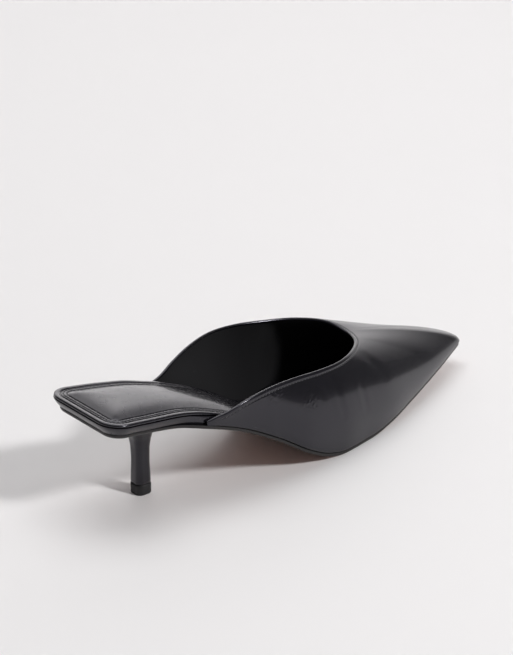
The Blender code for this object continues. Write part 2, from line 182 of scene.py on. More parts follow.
# Sock from its underside out: millimetres in from the edge, millimetres above the board.
SOCK_UNDERSIDE = [(0.45, 0.0), (0.10, 0.16)]

# Sock from its edge inward: millimetres in from the edge, millimetres above or below the rim.
SOCK_EDGE_PROFILE = [
    (0.00, -0.95), (0.05, -0.62), (0.22, -0.27), (0.55, -0.06), (1.05, 0.03), (1.80, 0.04),
    (2.40, -0.05), (2.75, -0.30), (3.00, -0.62), (3.25, -0.62), (3.50, -0.24), (3.85, -0.10),
    (4.15, -0.20), (4.45, -0.50), (4.75, -0.20), (5.10, -0.03), (5.60, -0.03), (5.95, -0.20),
    (6.25, -0.50), (6.55, -0.18), (6.90, 0.00), (7.40, 0.14), (8.00, 0.30), (10.0, 0.86),
    (12.5, 1.42), (16.0, 1.88), (22.0, 2.18), (30.0, 2.25),
]

# Number of its rows that are rings, and its two rows of stitches: millimetres in from the
# edge, and the gap that they leave to the toe.
SOCK_RINGS = 23
STITCH_ROWS = (4.45, 6.25)
STITCH_TOE_GAP = 90 * MM

# Half width of the sock under which its border narrows, how far round a point its edge is
# looked for, and the pad: its share of the rise at the front, where that starts and its fade.
BORDER_WIDTH = 16 * MM
EDGE_SEARCH = 40 * MM
PAD_FRONT = 0.35
PAD_FRONT_PLACE = 0.50
PAD_FADE = 60 * MM

# Heel sections: share of the rise, share of the tip width, share of the trumpet. Then the
# number of levels, how far the cover is turned in at its foot and how fast that fades.
HEEL_SECTIONS = [
    (0.00, 1.00, 0.00), (0.14, 0.96, 0.00), (0.34, 0.91, 0.00), (0.52, 0.92, 0.01),
    (0.64, 0.97, 0.04), (0.73, 1.00, 0.11), (0.81, 1.00, 0.22), (0.88, 1.00, 0.40),
    (0.94, 1.00, 0.66), (1.00, 1.00, 1.00),
]
HEEL_LEVELS = 64
COVER_TURN = 0.35 * MM
COVER_FADE = 90
HEEL_CORNER = 0.35
HEEL_CORNER_POINTS = 12

# Top piece from the floor up: millimetres inward and up.
TOP_PIECE_EDGE = [(0.35, 0.0), (0.12, 0.08), (0.0, 0.3), (0.0, 1.6), (-0.05, 4.6), (0.02, 5.0), (0.25, 5.2)]

# The photograph's camera: bearing and height of the view, distance, and the place in the
# frame of the heel's foot, all fitted to the outlines of the pair.
VIEW_BEARING = math.radians(35.9)
VIEW_HEIGHT = math.radians(23.7)
VIEW_DISTANCE = 1125 * MM
VIEW_RIGHT = -0.4 * MM
VIEW_UP = 76.7 * MM
FOCAL_PX = 2362.5
FRAME_PX = (513, 655)
PAN_PX = 120
SENSOR_MM = 36

# The studio in metres: floor in front of and behind the shoe, radius of the backdrop's sweep,
# its wall and half its width; then the key light's place to the right, away, up and off.
FLOOR_FRONT = -3.0
FLOOR_BACK = 2.0
SWEEP = 1.2
WALL = 2.4
HALF_WIDTH = 4.0
BACKDROP_STEPS = 24
SHOE_MIDDLE = Vector((0.09, 0.01, 0.03))
KEY_SIDE = (0.834, -0.55)
KEY_HEIGHT = math.radians(40)
KEY_DISTANCE = 2.6
SKY = (0.98, 0.98, 1.0, 1.0)
SKY_STRENGTH = 0.17

# The kinds of node that the materials and the stitches use most.
BUMP = "ShaderNodeBump"
NOISE = "ShaderNodeTexNoise"
RANGE = "ShaderNodeMapRange"
MATH = "ShaderNodeMath"


def size(name, label, default):
    """A named size of the shoe as a property."""
    return bpy.props.FloatProperty(name=name, description=label, default=default, unit="LENGTH", precision=5)


def linear(code):
    """Linear colour of an sRGB hex value."""
    parts = [int(code[i:i + 2], 16) / 255 for i in (1, 3, 5)]
    return tuple(p / 12.92 if p <= 0.04045 else ((p + 0.055) / 1.055) ** 2.4 for p in parts)


def colour(name, label, code):
    """A named colour of the shoe as a property, given as sRGB hex."""
    return bpy.props.FloatVectorProperty(
        name=name, description=label, default=linear(code), subtype="COLOR", size=3, min=0.0, max=1.0)


class MuleSizes(bpy.types.PropertyGroup):
    """The driving sizes of the shoe."""

    length: size("Shoe length", "Back of the seat to the toe", CAD_HIGH[0] - CAD_LOW[0])
    setback: size("Heel setback", "Back of the seat to the heel's axis", -CAD_LOW[0])
    ball_width: size("Ball width", "Width of the sole across the ball", 76 * MM)
    heel_height: size("Heel height", "Floor to the outsole under the seat", 45.6 * MM)
    instep_height: size("Instep height", "Floor to the highest point of the topline", 49.3 * MM)
    toe_spring: size("Toe spring", "Floor to the outsole under the toe", 10.4 * MM)
    toe_radius: size("Toe radius", "Rounding of the toe seen from above", 6.5 * MM)
    toe_centre: size("Toe centre", "The toe's distance to the inner side of the heel's axis", 16.3 * MM)
    seat_corner: size("Seat corner", "Rounding of the seat's back corners", 11.8 * MM)
    seat_overhang: size("Seat overhang", "How far the rim stands out past the outsole", 3.0 * MM)
    clearance: size("Clearance", "Gap between touching pieces", 0.3 * MM)
    wall: size("Upper wall", "Thickness of the upper", 1.5 * MM)
    outsole: size("Outsole", "Thickness of the outsole", 1.8 * MM)
    outsole_inset: size("Outsole inset", "How far the outsole lies inside the feather line", 0.5 * MM)
    seat_board: size("Seat board", "Thickness of the board under the seat", 4.4 * MM)
    fore_board: size("Fore board", "Thickness of the board under the ball", 2.6 * MM)
    sock_edge: size("Sock edge", "Thickness of the sock at its edge", 1.4 * MM)
    board_toe_gap: size("Board's toe gap", "Board's end to the toe", 15 * MM)
    sock_toe_gap: size("Sock's toe gap", "Sock's end to the toe", 19 * MM)
    top_piece: size("Top piece", "Height of the top piece", 5.2 * MM)
    tip_width: size("Heel tip", "Width of the heel at the top piece", 8.7 * MM)
    trumpet_width: size("Heel trumpet", "Width of the heel under the seat", 30 * MM)
    trumpet_shift: size("Trumpet shift", "The trumpet's distance ahead of the heel's axis", -4.0 * MM)
    stitch_pitch: size("Stitch pitch", "Distance from stitch to stitch", 2.0 * MM)
    stitch_length: size("Stitch length", "Length of thread that shows", 1.45 * MM)
    thread: size("Thread", "Thickness of the thread", 0.48 * MM)


class MuleColours(bpy.types.PropertyGroup):
    """The colours of the shoe and of the room."""

    leather: colour("Leather", "Black leather of the upper", "#0b0a0e")
    lining: colour("Lining", "Lining of the upper", "#0b0a0d")
    sock: colour("Sock", "Leather of the sock", "#0f0e12")
    platform: colour("Platform", "Leather round the seat", "#100f13")
    thread: colour("Thread", "Sewing thread", "#222026")
    sole: colour("Sole", "Underside of the outsole", "#8a6353")
    edge: colour("Sole edge", "Inked edge of the outsole", "#120f10")
    rubber: colour("Rubber", "Top piece of the heel", "#161517")
    floor: colour("Floor", "Floor and backdrop", "#e9e7e7")


def sizes():
    """The shoe's sizes as set in the scene."""
    return bpy.context.scene.mule_sizes


def colours():
    """The shoe's colours as set in the scene."""
    return bpy.context.scene.mule_colours


def smooth_table(rows, column, at):
    """Read one column of a table at a place along it, without overshoot."""
    places = [row[0] for row in rows]
    values = [row[column] for row in rows]
    if at <= places[0]:
        return values[0]
    if at >= places[-1]:
        return values[-1]
    slopes = [(values[i + 1] - values[i]) / (places[i + 1] - places[i]) for i in range(len(rows) - 1)]
    span = min(bisect.bisect_right(places, at) - 1, len(slopes) - 1)
    ends = []
    for knot in (span, span + 1):
        before = slopes[max(knot - 1, 0)]
        after = slopes[min(knot, len(slopes) - 1)]
        if knot in (0, len(slopes)):
            ends.append(after)
        else:
            ends.append(0.0 if before * after <= 0 else 2 * before * after / (before + after))
    width = places[span + 1] - places[span]
    t = (at - places[span]) / width
    return ((1 + 2 * t) * (1 - t) ** 2 * values[span] + t * (1 - t) ** 2 * width * ends[0]
            + t * t * (3 - 2 * t) * values[span + 1] + t * t * (t - 1) * width * ends[1])


def ease(t):
    """Smooth step from 0 to 1."""
    t = min(max(t, 0.0), 1.0)
    return t * t * (3 - 2 * t)


def along_to_x(share):
    """Distance ahead of the heel's axis of a share of the shoe's length."""
    return share * sizes().length - sizes().setback


def x_to_along(x):
    """Share of the shoe's length at a distance ahead of the heel's axis."""
    return (x + sizes().setback) / sizes().length


def sole_z(x):
    """Height of the outsole's underside."""
    share = x_to_along(x)
    s = sizes()
    return (smooth_table(SOLE_PROFILE, 1, share) * s.heel_height
            + smooth_table(SOLE_PROFILE, 2, share) * s.toe_spring)


def seat_z(x):
    """Height of the board's underside, just clear of the outsole."""
    return sole_z(x) + sizes().outsole + sizes().clearance


def board_top(x):
    """Height of the board's upper face."""
    s = sizes()
    return seat_z(x) + s.seat_board + (s.fore_board - s.seat_board) * ease(x / along_to_x(BALL_START))


def sock_bottom(x):
    """Height of the sock's underside."""
    return board_top(x) + sizes().clearance


def sock_top(x):
    """Height of the sock's rim."""
    return sock_bottom(x) + sizes().sock_edge


def raised(height, rise):
    """A height along the shoe, raised by a fixed distance."""
    return lambda x: height(x) + rise


def outline_rows():
    """The feather table closed with the last section before the rounded toe."""
    s = sizes()
    tangent = 1 - s.toe_radius * (1 - math.sin(TOE_TAPER)) / s.length
    half = s.toe_radius * math.cos(TOE_TAPER)
    sides = [(s.toe_centre + across) / s.ball_width for across in (-half, half)]
    return FEATHER + [(tangent, *sides, 0.0)]


def feather_outline(sides=150, corner_steps=14, toe_steps=14):
    """Outer and inner side of the feather line, from the back of the seat to the toe."""
    s = sizes()
    rows = outline_rows()
    corner = s.seat_corner - s.seat_overhang
    places = []
    for step in range(corner_steps):
        angle = math.pi / 2 * step / corner_steps
        places.append((s.seat_overhang + corner * (1 - math.cos(angle)), corner * (1 - math.sin(angle))))
    start = s.seat_corner / s.length
    end = rows[-1][0]
    places += [((start + (end - start) * i / sides) * s.length, 0.0) for i in range(sides + 1)]
    lateral = []
    medial = []
    for along, rounding in places:
        share = along / s.length
        x = along - s.setback
        lateral.append(Vector((x, smooth_table(rows, 1, share) * s.ball_width + rounding)))
        medial.append(Vector((x, smooth_table(rows, 2, share) * s.ball_width - rounding)))
    centre_x = s.length - s.setback - s.toe_radius
    for step in range(1, toe_steps):
        angle = TOE_TAPER + TOE_SWEEP * step / (toe_steps - 1)
        x = centre_x + s.toe_radius * math.sin(angle)
        half = s.toe_radius * math.cos(angle)
        lateral.append(Vector((x, s.toe_centre - half)))
        medial.append(Vector((x, s.toe_centre + half)))
    return lateral, medial


def moved_outline(outline, distance):
    """Outline moved outward by distance(x) along its own normals."""
    lateral, medial = outline
    loop = lateral + medial[::-1]
    count = len(loop)
    moved = []
    for i, point in enumerate(loop):
        tangent = loop[(i + 1) % count] - loop[i - 1]
        moved.append(point + Vector((tangent.y, -tangent.x)).normalized() * distance(point.x))
    half = len(lateral)
    return moved[:half], moved[half:][::-1]


def shortened(outline, toe_gap):
    """Outline cut square at the last section that keeps the gap to the toe."""
    limit = sizes().length - sizes().setback - toe_gap
    kept = sum(1 for point in feather_outline()[0] if point.x <= limit)
    return outline[0][:kept], outline[1][:kept]


def seat_lead(x):
    """1 at the seat, where the platform overhangs, to 0 where the upper wraps it."""
    return smooth_table(outline_rows(), 3, x_to_along(x))


def platform_offset(x):
    """How far the platform's rim stands outside the feather line, or inside the upper."""
    s = sizes()
    lead = seat_lead(x)
    return lead * s.seat_overhang - (1 - lead) * (s.wall + 2 * s.clearance)


def platform_foot_offset(x):
    """The platform's wall leans in under its rim at the seat."""
    return platform_offset(x) - seat_lead(x) * sizes().seat_overhang


def running_lengths(points):
    """Distance of each point of a path from its start."""
    lengths = [0.0]
    for a, b in zip(points, points[1:]):
        lengths.append(lengths[-1] + (b - a).length)
    return lengths


def span_at(lengths, distance):
    """Number of the span at a distance along a path, and the share of it that is passed."""
    span = min(max(bisect.bisect_right(lengths, distance) - 1, 0), len(lengths) - 2)
    return span, (distance - lengths[span]) / max(lengths[span + 1] - lengths[span], 1e-9)


def side_path(side):
    """One side of the feather line from the wing tip to the toe's centre."""
    s = sizes()
    start_x = along_to_x(TOPLINE[0][0])
    start_y = smooth_table(outline_rows(), 1 + side, TOPLINE[0][0]) * s.ball_width
    path = [Vector((start_x, start_y))] + [p for p in feather_outline()[side] if p.x > start_x + MM]
    path.append(Vector((s.length - s.setback, s.toe_centre)))
    return path, running_lengths(path)


def point_on_path(path, lengths, share):
    """Point and direction at a share of a path's length."""
    span, t = span_at(lengths, share * lengths[-1])
    tangents = []
    for i in (span, span + 1):
        tangents.append((path[min(i + 1, len(path) - 1)] - path[max(i - 1, 0)]).normalized())
    return path[span].lerp(path[span + 1], t), tangents[0].lerp(tangents[1], t).normalized()


def curve_through(points, span, t):
    """Catmull-Rom curve with chord-length knots through a list of points."""
    p1 = points[span]
    p2 = points[span + 1]
    p0 = points[span - 1] if span else p1 * 2 - p2
    p3 = points[span + 2] if span + 2 < len(points) else p2 * 2 - p1
    d01 = (p1 - p0).length ** 0.5
    d12 = (p2 - p1).length ** 0.5
    d23 = (p3 - p2).length ** 0.5
    m1 = (p2 - p1) + ((p1 - p0) / d01 - (p2 - p0) / (d01 + d12)) * d12
    m2 = (p2 - p1) + ((p3 - p2) / d23 - (p3 - p1) / (d12 + d23)) * d12
    return (p1 * ((1 + 2 * t) * (1 - t) ** 2) + m1 * (t * (1 - t) ** 2)
            + p2 * (t * t * (3 - 2 * t)) + m2 * (t * t * (t - 1)))


def topline_knots():
    """Topline points and rib feet from the outer wing over the throat to the inner wing."""
    s = sizes()
    sides = []
    for across, rise in ((1, 3), (2, 4)):
        sides.append([(Vector((along_to_x(r[0]), r[across] * s.ball_width, r[rise] * s.instep_height)), r[5])
                      for r in TOPLINE])
    throat = Vector((along_to_x(THROAT[0]), THROAT[1] * s.ball_width, THROAT[2] * s.instep_height))
    return sides[0] + [(throat, 1.0)] + sides[1][::-1]


def rib_controls(top, foot_share, side, paths):
    """The four control points of one rib from the topline down to the feather line."""
    s = sizes()
    foot2d, direction = point_on_path(*paths[side], foot_share)
    outward = Vector((direction.y, -direction.x, 0.0)) * (1 if side == 0 else -1)
    if foot_share >= 1.0:
        outward = Vector((1.0, 0.0, 0.0))
    foot = Vector((foot2d.x, foot2d.y, seat_z(foot2d.x)))
    height = top.z - foot.z
    reach = Vector((foot.x - top.x, foot.y - top.y, 0.0)) * RIB_REACH
    drop, rise, swell_top, swell_foot = (smooth_table(RIB_SHAPE, c, foot_share) for c in (1, 2, 3, 4))
    swell = min(height / (s.instep_height * FULL_SWELL), 1.0) * s.ball_width
    first = top + reach - Vector((0, 0, drop * height)) + outward * swell_top * swell
    last = foot + Vector((0, 0, rise * height)) + outward * swell_foot * swell
    return top, first, last, foot


def even_rib(controls, samples=60):
    """Points of one rib at the distances of its rows down from the topline."""
    a, b, c, d = controls
    points = []
    for t in (k / samples for k in range(samples + 1)):
        points.append(a * (1 - t) ** 3 + b * (3 * t * (1 - t) ** 2) + c * (3 * t * t * (1 - t)) + d * t ** 3)
    lengths = running_lengths(points)
    rib = []
    for distance in rib_rows(lengths[-1]):
        span, t = span_at(lengths, distance)
        rib.append(points[span].lerp(points[span + 1], t))
    return rib


def rib_rows(length):
    """Distances down a rib: close together at the topline and at the feather line."""
    scale = min(1.0, EDGE_SHARE * length / EDGE_ROWS[-1])
    start = EDGE_ROWS[-1] * scale
    foot_scale = min(1.0, FOOT_SHARE * length / FOOT_ROWS[0])
    stop = length - FOOT_ROWS[0] * foot_scale
    rows = [d * scale for d in EDGE_ROWS]
    rows += [start + (stop - start) * k / BODY_ROWS for k in range(1, BODY_ROWS)]
    return rows + [length - d * foot_scale for d in FOOT_ROWS]


def upper_face():
    """Outer face of the upper as ribs of points, with each rib's place along the topline."""
    paths = (side_path(0), side_path(1))
    knots = topline_knots()
    points, shares = zip(*knots)
    middle = len(TOPLINE)
    spans = len(knots) - 1
    ribs = []
    places = []
    for span in range(spans):
        steps = RIBS_AT_THROAT if span in (middle - 1, middle) else RIBS_PER_SPAN
        for step in range(steps + (span == spans - 1)):
            t = step / steps
            share = shares[span] + (shares[span + 1] - shares[span]) * t
            top = curve_through(points, span, t)
            ribs.append(even_rib(rib_controls(top, share, int(span >= middle), paths)))
            places.append((span + t) / spans)
    return ribs, places


def face_normals(ribs):
    """Unit normals of a grid of points, to the outside."""
    last = len(ribs[0]) - 1
    normals = []
    for i, rib in enumerate(ribs):
        before = ribs[max(i - 1, 0)]
        after = ribs[min(i + 1, len(ribs) - 1)]
        normals.append([(rib[min(k + 1, last)] - rib[max(k - 1, 0)]).cross(after[k] - before[k]).normalized()
                        for k in range(last + 1)])
    return normals


def segment_distance(point, start, end):
    """Distance from a point to a segment, with the share along it."""
    line = end - start
    share = min(max((point - start).dot(line) / line.length_squared, 0.0), 1.0)
    return (point - start - line * share).length, share


def crease_lines(ribs, places):
    """The creases as lines on the upper's face, with their widths and depths."""
    last = len(ribs[0]) - 1
    lines = []
    for side, start_place, start_down, end_place, end_down, width, depth in CREASES:
        ends = []
        for place, down in ((start_place, start_down), (end_place, end_down)):
            at = place / 2 if side == 0 else 1 - place / 2
            rib = min(range(len(places)), key=lambda i: abs(places[i] - at))
            ends.append(ribs[rib][round(down * last)])
        lines.append((*ends, width * MM, depth * MM))
    return lines


def crease_height(point, lines):
    """Height of the folds at a point: a soft trough with a low ridge on each side."""
    height = 0.0
    for start, end, width, depth in lines:
        distance, share = segment_distance(point, start, end)
        if distance > CREASE_REACH * width:
            continue
        fade = math.sin(math.pi * (CREASE_END + (1 - 2 * CREASE_END) * share))
        trough = math.exp(-(distance / width) ** 2)
        ridge = math.exp(-((distance - RIDGE_PLACE * width) / (RIDGE_WIDTH * width)) ** 2)
        height += depth * fade * (RIDGE_HEIGHT * ridge - trough)
    return height


def new_object(name, data):
    """An object in the scene."""
    thing = bpy.data.objects.new(name, data)
    bpy.context.collection.objects.link(thing)
    return thing


def shaded_object(name, mesh, finishes, sharp):
    """A smooth-shaded object with its materials, its edges kept sharp from an angle on."""
    for finish in finishes:
        mesh.materials.append(material(finish))
    mesh.shade_smooth()
    mesh.set_sharp_from_angle(angle=math.radians(sharp))
    return new_object(name, mesh)


def mesh_object(name, vertices, faces, finishes, sharp, face_slots=None):
    """A smooth-shaded object from points and faces."""
    mesh = bpy.data.meshes.new(name)
    mesh.from_pydata([tuple(v) for v in vertices], [], faces)
    if face_slots:
        mesh.polygons.foreach_set("material_index", face_slots)
    mesh.validate()
    return shaded_object(name, mesh, finishes, sharp)


def outward(thing):
    """Turn the faces of a closed piece outward."""
    builder = bmesh.new()
    builder.from_mesh(thing.data)
    bmesh.ops.remove_doubles(builder, verts=builder.verts[:], dist=1e-6)
    bmesh.ops.recalc_face_normals(builder, faces=builder.faces[:])
    builder.to_mesh(thing.data)
    builder.free()


def add_node(tree, kind, settings=None, into=None, **links):
    """Add a node, set what it holds, and link its inputs by name or number and its first output."""
    node = tree.nodes.new(kind)
    for key, value in (settings or {}).items():
        if isinstance(key, str) and hasattr(node, key):
            setattr(node, key, value)
        else:
            node.inputs[key].default_value = value
    for key, source in links.items():
        target = node.inputs[int(key[1:]) if key[1:].isdigit() else key.replace("_", " ")]
        tree.links.new(source.outputs[0] if isinstance(source, bpy.types.Node) else source, target)
    if into is not None:
        tree.links.new(node.outputs[0], into)
    return node


def new_material(name, values):
    """A material's tree, its shader with what is the same all over, and the place on the object."""
    finish = bpy.data.materials.new(name)
    finish.use_nodes = True
    tree = finish.node_tree
    shader = tree.nodes["Principled BSDF"]
    for key, value in values.items():
        shader.inputs[key].default_value = value
    return tree, shader.inputs, add_node(tree, "ShaderNodeTexCoord").outputs["Object"]


def tint(tree, shader, base, pattern, low, high, span=None):
    """Colour of a surface, made darker and lighter by a pattern from one share to another."""
    tone = add_node(tree, RANGE, {"To Min": low, "To Max": high, **(span or {})}, Value=pattern)
    add_node(tree, "ShaderNodeMixRGB", {"blend_type": "MULTIPLY", "Fac": 1.0, "Color1": (*base, 1.0)},
             into=shader["Base Color"], Color2=tone)


def leather(name, base, grain, height, roughness, coat, waviness=0.04, crinkles=()):
    """Finished leather: fine pebbled grain, slight unevenness and a thin glossy top coat.

    Width and height of the grain, waviness and crinkles are in millimetres.
    """
    tree, shader, place = new_material(name, {
        "Coat Weight": coat, "Coat Roughness": 0.09, "Specular Tint": (0.88, 0.85, 1.0, 1.0),
        "Specular IOR Level": 0.42})
    cells = add_node(tree, "ShaderNodeTexVoronoi",
                     {"feature": "SMOOTH_F1", "Scale": 1 / (grain * MM), "Smoothness": 0.35}, Vector=place)
    pores = add_node(tree, NOISE,
                     {"Scale": 1 / (2.6 * grain * MM), "Detail": 4.0, "Roughness": 0.6}, Vector=place)
    waves = add_node(tree, NOISE,
                     {"Scale": 1 / (14 * MM), "Detail": 2.0, "Roughness": 0.45}, Vector=place)
    span = {"From Min": 0.3, "From Max": 0.7}
    tint(tree, shader, base, waves, 0.86, 1.16, span)
    add_node(tree, RANGE, {"To Min": roughness - 0.03, "To Max": roughness + 0.04, **span},
             into=shader["Roughness"], Value=pores)
    relief = add_node(tree, BUMP, {"Strength": 1.0, "Distance": waviness * MM}, Height=waves)
    for pattern, strength in ((pores, 0.35), (cells, 0.8)):
        relief = add_node(tree, BUMP, {"Strength": strength, "Distance": height * MM},
                          Height=pattern, Normal=relief)
    for centre, radius in crinkles:
        folds = add_node(tree, NOISE,
                         {"noise_type": "RIDGED_MULTIFRACTAL", "Scale": 1 / (2.2 * MM), "Detail": 2.0,
                          "Distortion": 0.6}, Vector=place)
        reach = add_node(tree, "ShaderNodeVectorMath",
                         {"operation": "DISTANCE", 1: tuple(c * MM for c in centre)}, _0=place)
        fade = add_node(tree, RANGE,
                        {"interpolation_type": "SMOOTHSTEP", "From Min": radius * MM,
                         "From Max": 0.2 * radius * MM, "To Min": 0.0, "To Max": 0.9},
                        Value=reach.outputs["Value"])
        relief = add_node(tree, BUMP, {"Distance": 0.30 * MM}, Height=folds, Strength=fade,
                          Normal=relief)
    tree.links.new(relief.outputs[0], shader["Normal"])


def lining_textile(name, base):
    """Knitted lining: dull and slightly fuzzy. Its ribs are drawn 1.8 mm wide, so that they show."""
    tree, shader, place = new_material(name, {
        "Roughness": 0.78, "Specular IOR Level": 0.32, "Sheen Weight": 0.04, "Sheen Roughness": 0.5})
    weave = add_node(tree, "ShaderNodeTexWave", {"Scale": 1 / (5.6 * MM), "Distortion": 1.2, "Detail": 1.0},
                     Vector=place)
    fuzz = add_node(tree, NOISE, {"Scale": 1 / (0.8 * MM), "Detail": 3.0}, Vector=place)
    tint(tree, shader, base, fuzz, 0.8, 1.25)
    ribs = add_node(tree, BUMP, {"Strength": 0.3, "Distance": 0.05 * MM}, Height=weave.outputs["Fac"])
    add_node(tree, BUMP, {"Strength": 0.5, "Distance": 0.05 * MM}, into=shader["Normal"],
             Height=fuzz, Normal=ribs)


def inked_edge(name, base):
    """Ground and inked sole edge: a waxy satin with fine lines along the layers."""
    tree, shader, place = new_material(name, {"Roughness": 0.42})
    stretch = add_node(tree, "ShaderNodeMapping", {"Scale": (0.15, 0.15, 1.0)}, Vector=place)
    lines = add_node(tree, NOISE, {"Scale": 1 / (0.5 * MM), "Detail": 3.0}, Vector=stretch)
    tint(tree, shader, base, lines, 0.7, 1.35)
    add_node(tree, BUMP, {"Strength": 0.5, "Distance": 0.06 * MM}, into=shader["Normal"], Height=lines)


def sole_resin(name, base):
    """Moulded resin underside: a fine even texture, slightly mottled and unevenly glossy."""
    tree, shader, place = new_material(name, {})
    speckle = add_node(tree, NOISE, {"Scale": 1 / (1.1 * MM), "Detail": 5.0}, Vector=place)
    mottle = add_node(tree, NOISE, {"Scale": 1 / (22 * MM), "Detail": 2.0}, Vector=place)
    tint(tree, shader, base, mottle, 0.86, 1.12)
    add_node(tree, RANGE, {"To Min": 0.36, "To Max": 0.56}, into=shader["Roughness"], Value=speckle)
    add_node(tree, BUMP, {"Strength": 0.5, "Distance": 0.08 * MM}, into=shader["Normal"],
             Height=speckle)


def moulded_rubber(name, base):
    """Moulded rubber top piece: dull black with a fine pitted skin."""
    tree, shader, place = new_material(name, {"Roughness": 0.58})
    pits = add_node(tree, NOISE, {"Scale": 1 / (0.6 * MM), "Detail": 4.0}, Vector=place)
    tint(tree, shader, base, pits, 0.8, 1.3)
    add_node(tree, BUMP, {"Strength": 0.5, "Distance": 0.06 * MM}, into=shader["Normal"], Height=pits)


def sewing_thread(name, base):
    """Waxed polyester thread with a slight sheen. Its strands are drawn 0.9 mm apart, so that they show."""
    tree, shader, place = new_material(name, {"Roughness": 0.45, "Sheen Weight": 0.2})
    twist = add_node(tree, "ShaderNodeTexWave", {"Scale": 1 / (2.5 * MM), "bands_direction": "DIAGONAL"},
                     Vector=place).outputs["Fac"]
    tint(tree, shader, base, twist, 0.7, 1.4)
    add_node(tree, BUMP, {"Strength": 0.6, "Distance": 0.08 * MM}, into=shader["Normal"], Height=twist)


def painted_floor(name, base):
    """Matt painted floor that runs up into the backdrop, with faint broad clouds."""
    tree, shader, place = new_material(name, {"Roughness": 0.7, "Specular IOR Level": 0.25})
    cloud = add_node(tree, NOISE, {"Scale": 1 / (600 * MM), "Detail": 2.0}, Vector=place)
    tint(tree, shader, base, cloud, 0.985, 1.015)


# Each material: what makes it, the name of its colour, and the leathers' grain and gloss.
MATERIALS = {
    "Box calf, glazed": (leather, "leather", {"grain": 0.9, "height": 0.010, "roughness": 0.20, "coat": 0.3,
                                              "waviness": 0.03, "crinkles": CRINKLES}),
    "Kid lining, knitted back": (lining_textile, "lining", {}),
    "Sock sheep leather, padded": (leather, "sock", {"grain": 1.0, "height": 0.007, "roughness": 0.25,
                                                     "coat": 0.35}),
    "Rand leather, wrapped": (leather, "platform", {"grain": 0.9, "height": 0.009, "roughness": 0.24,
                                                    "coat": 0.35}),
    "Heel leather, wrapped": (leather, "leather", {"grain": 0.9, "height": 0.009, "roughness": 0.22,
                                                   "coat": 0.4}),
    "Polyester thread, waxed": (sewing_thread, "thread", {}),
    "Resin sole, moulded": (sole_resin, "sole", {}),
    "Sole edge, inked": (inked_edge, "edge", {}),
    "Rubber, moulded": (moulded_rubber, "rubber", {}),
    "Studio floor, painted": (painted_floor, "floor", {}),
}


def material(name):
    """One of the scene's materials, made once."""
    if name not in bpy.data.materials:
        make, tone, values = MATERIALS[name]
        make(name, getattr(colours(), tone), **values)
    return bpy.data.materials[name]


def settle(thing, slot_name, *nodes):
    """Put a finished piece on the shoe's body and hide the nodes it stands for. Its slot name is not used."""
    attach(thing, "root")
    if nodes:
        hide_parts(*nodes)


def stitch_tree(label):
    """Geometry Nodes tree that lays stitches along a path on a surface."""
    tree = bpy.data.node_groups.new(label, "GeometryNodeTree")
    face = tree.interface
    face.new_socket("Path", in_out="INPUT", socket_type="NodeSocketGeometry")
    for name in ("Pitch", "Stitch Length", "Thread"):
        face.new_socket(name, in_out="INPUT", socket_type="NodeSocketFloat")
    face.new_socket("Material", in_out="INPUT", socket_type="NodeSocketMaterial")
    face.new_socket("Stitches", in_out="OUTPUT", socket_type="NodeSocketGeometry")
    source = add_node(tree, "NodeGroupInput").outputs
    path = add_node(tree, "GeometryNodeMeshToCurve", Mesh=source["Path"])
    points = add_node(tree, "GeometryNodeCurveToPoints", {"mode": "LENGTH"},
                      Curve=path, Length=source["Pitch"])
    half = add_node(tree, MATH, {"operation": "MULTIPLY", 1: 0.5}, _0=source["Thread"])
    ball = add_node(tree, "GeometryNodeMeshUVSphere", {"Segments": 8, "Rings": 6}, Radius=half)
    stretch = add_node(tree, MATH, {"operation": "DIVIDE"},
                       _0=source["Stitch Length"], _1=source["Thread"])
    shape = add_node(tree, "ShaderNodeCombineXYZ", {0: 1.0, 1: 1.0}, _2=stretch)
    stitch = add_node(tree, "GeometryNodeTransform", Geometry=ball, Scale=shape)
    turn = add_node(tree, "FunctionNodeAlignRotationToVector", {"axis": "Z"},
                    Vector=points.outputs["Tangent"])
    laid = add_node(tree, "GeometryNodeInstanceOnPoints", Points=points, Instance=stitch, Rotation=turn)
    real = add_node(tree, "GeometryNodeRealizeInstances", Geometry=laid)
    smooth = add_node(tree, "GeometryNodeSetShadeSmooth", Geometry=real)
    dressed = add_node(tree, "GeometryNodeSetMaterial", Geometry=smooth, Material=source["Material"])
    add_node(tree, "NodeGroupOutput", Stitches=dressed)
    return tree


def stitches(name, path):
    """A row of stitches along a list of points, as one plain mesh."""
    s = sizes()
    label = "Stitches along a path"
    tree = bpy.data.node_groups.get(label) or stitch_tree(label)
    mesh = bpy.data.meshes.new(name + "_path")
    mesh.from_pydata([tuple(p) for p in path], [(i, i + 1) for i in range(len(path) - 1)], [])
    guide = new_object(name + "_path", mesh)
    modifier = guide.modifiers.new("Stitches", "NODES")
    modifier.node_group = tree
    values = {"Pitch": s.stitch_pitch, "Stitch Length": s.stitch_length, "Thread": s.thread,
              "Material": material("Polyester thread, waxed")}
    for item in tree.interface.items_tree:
        if item.in_out == "INPUT" and item.name in values:
            modifier[item.identifier] = values[item.name]
    graph = bpy.context.evaluated_depsgraph_get()
    plain = bpy.data.meshes.new_from_object(guide.evaluated_get(graph))
    bpy.data.objects.remove(guide)
    return new_object(name, plain)


def ring_faces(rings, count):
    """Quads between stacked closed loops of points."""
    faces = []
    for a in range(0, (rings - 1) * count, count):
        for i in range(count):
            j = (i + 1) % count
            faces.append((a + i, a + j, a + count + j, a + count + i))
    return faces


